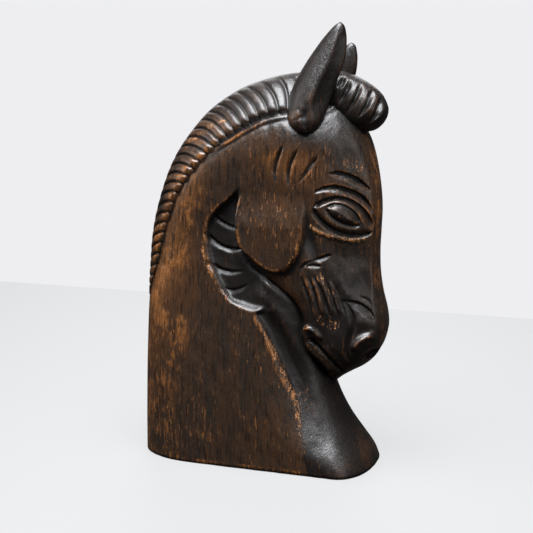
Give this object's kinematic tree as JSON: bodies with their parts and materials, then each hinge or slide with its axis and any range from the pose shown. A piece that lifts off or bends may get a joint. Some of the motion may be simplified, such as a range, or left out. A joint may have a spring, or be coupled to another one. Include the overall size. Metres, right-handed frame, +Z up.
{
  "type": "horse head sculpture",
  "caption": "Carved wooden horse's head and neck on a flat-cut foot, dark brown stain rubbed through to warm wood, with a notched mane, upright ears and a rolled forelock",
  "frame": {"origin": "the middle of the flat underside, where the foot rests on the table", "axes": "+Z is up, from the foot to the ear tips; +X is the way the horse looks; +Y is the horse's left side"},
  "size_m": [0.1685, 0.076, 0.287],
  "materials": {
    "stained_wood": "satin"
  },
  "bodies": {
    "root": {"horse_head": "stained_wood"}
  },
  "joints": []
}
